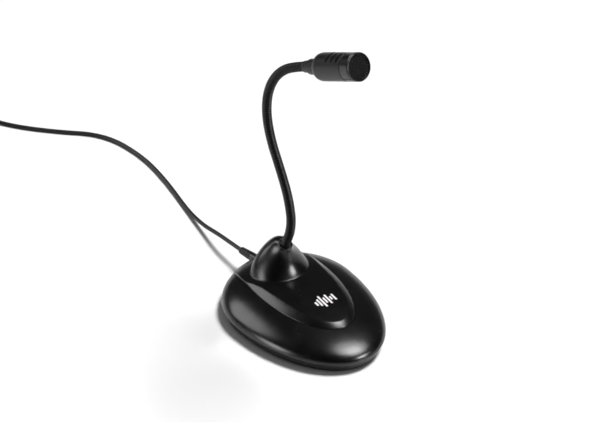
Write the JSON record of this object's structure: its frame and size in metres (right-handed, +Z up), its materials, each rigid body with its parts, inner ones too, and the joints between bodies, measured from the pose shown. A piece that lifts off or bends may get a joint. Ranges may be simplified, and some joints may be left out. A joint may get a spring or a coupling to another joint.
{
  "type": "desktop gooseneck microphone",
  "caption": "Desktop microphone: egg-shaped weighted base, leaning tower, flexible gooseneck and a slotted cylindrical head, with a coiled signal lead and jack.",
  "frame": {"origin": "on the desk, under the middle of the base’s footprint", "axes": "+Z up; -Y to the front, the way the microphone faces; +X to the right of a person behind the microphone, who looks along +Y from the front"},
  "size_m": [0.1603, 0.4343, 0.2463],
  "materials": {
    "shell_black": "satin",
    "head_black": "satin",
    "neck_black": "satin",
    "mesh_black": "matte",
    "rubber_black": "matte",
    "cord_black": "matte",
    "zinc_steel": "satin",
    "capsule_metal": "satin",
    "board_green": "satin",
    "felt_black": "matte",
    "plug_gold": "polished"
  },
  "bodies": {
    "base": {"ballast_screws": "zinc_steel", "ballast_weight": "zinc_steel", "base_cover": "shell_black", "base_lead": "cord_black", "bottom_plate": "shell_black", "clamp_screws": "zinc_steel", "cord": "cord_black", "cord_clamp": "zinc_steel", "cord_coil": "cord_black", "cord_tail": "cord_black", "deck_cover": "shell_black", "deck_screws": "zinc_steel", "neck_foot": "neck_black", "neck_nut": "zinc_steel", "neck_sleeve": "zinc_steel", "neck_washer": "zinc_steel", "plug_grip": "cord_black", "plug_insulators": "cord_black", "plug_ring": "plug_gold", "plug_sleeve": "plug_gold", "plug_tip": "plug_gold", "ring_screws": "zinc_steel", "rubber_foot_1": "rubber_black", "rubber_foot_2": "rubber_black", "rubber_foot_3": "rubber_black", "rubber_foot_4": "rubber_black", "strain_relief": "rubber_black"},
    "neck_1": {"neck_length_1": "neck_black", "neck_lead_1": "cord_black"},
    "neck_2": {"neck_length_2": "neck_black", "neck_lead_2": "cord_black"},
    "neck_3": {"neck_length_3": "neck_black", "neck_lead_3": "cord_black"},
    "neck_4": {"neck_length_4": "neck_black", "neck_lead_4": "cord_black"},
    "neck_5": {"neck_length_5": "neck_black", "neck_lead_5": "cord_black"},
    "neck_6": {"neck_length_6": "neck_black", "neck_lead_6": "cord_black"},
    "neck_7": {"neck_length_7": "neck_black", "neck_lead_7": "cord_black"},
    "head": {"neck_tip": "neck_black", "head_collar": "head_black", "tip_sleeve": "zinc_steel", "head_housing": "head_black", "head_washer": "zinc_steel", "head_nut": "zinc_steel", "front_ring": "head_black", "grille": "mesh_black", "foam_disc": "felt_black", "capsule_felt": "felt_black", "microphone_capsule": "capsule_metal", "capsule_board": "board_green", "capsule_boot": "rubber_black", "head_lead": "cord_black"}
  },
  "joints": [
    {"name": "neck_nod_1", "type": "hinge", "parent": "base", "child": "neck_1", "pos_m": [0, 0.02173, 0.05985], "axis": [0.9903, 0.129, 0.0521], "range_deg": [-20, 44]},
    {"name": "neck_sway_1", "type": "hinge", "parent": "neck_1", "child": "neck_2", "pos_m": [-0.00073, 0.01836, 0.08207], "axis": [-0.124, 0.9882, -0.0904], "range_deg": [-33, 33]},
    {"name": "neck_nod_2", "type": "hinge", "parent": "neck_2", "child": "neck_3", "pos_m": [-0.00247, 0.02276, 0.10422], "axis": [-0.9903, -0.129, -0.0521], "range_deg": [-40, 25]},
    {"name": "neck_sway_2", "type": "hinge", "parent": "neck_3", "child": "neck_4", "pos_m": [-0.00456, 0.0302, 0.12556], "axis": [-0.1018, 0.927, -0.361], "range_deg": [-33, 33]},
    {"name": "neck_nod_3", "type": "hinge", "parent": "neck_4", "child": "neck_5", "pos_m": [-0.00644, 0.03575, 0.14744], "axis": [-0.9903, -0.129, -0.0521], "range_deg": [-16, 45]},
    {"name": "neck_sway_3", "type": "hinge", "parent": "neck_5", "child": "neck_6", "pos_m": [-0.00751, 0.03489, 0.16998], "axis": [-0.1371, 0.9693, 0.2043], "range_deg": [-33, 33]},
    {"name": "neck_nod_4", "type": "hinge", "parent": "neck_6", "child": "neck_7", "pos_m": [-0.00746, 0.02608, 0.19075], "axis": [0.9903, 0.129, 0.0521], "range_deg": [-45, 12]},
    {"name": "neck_sway_4", "type": "hinge", "parent": "neck_7", "child": "head", "pos_m": [-0.00618, 0.00995, 0.20644], "axis": [-0.1126, 0.5226, 0.8451], "range_deg": [-33, 33]}
  ]
}
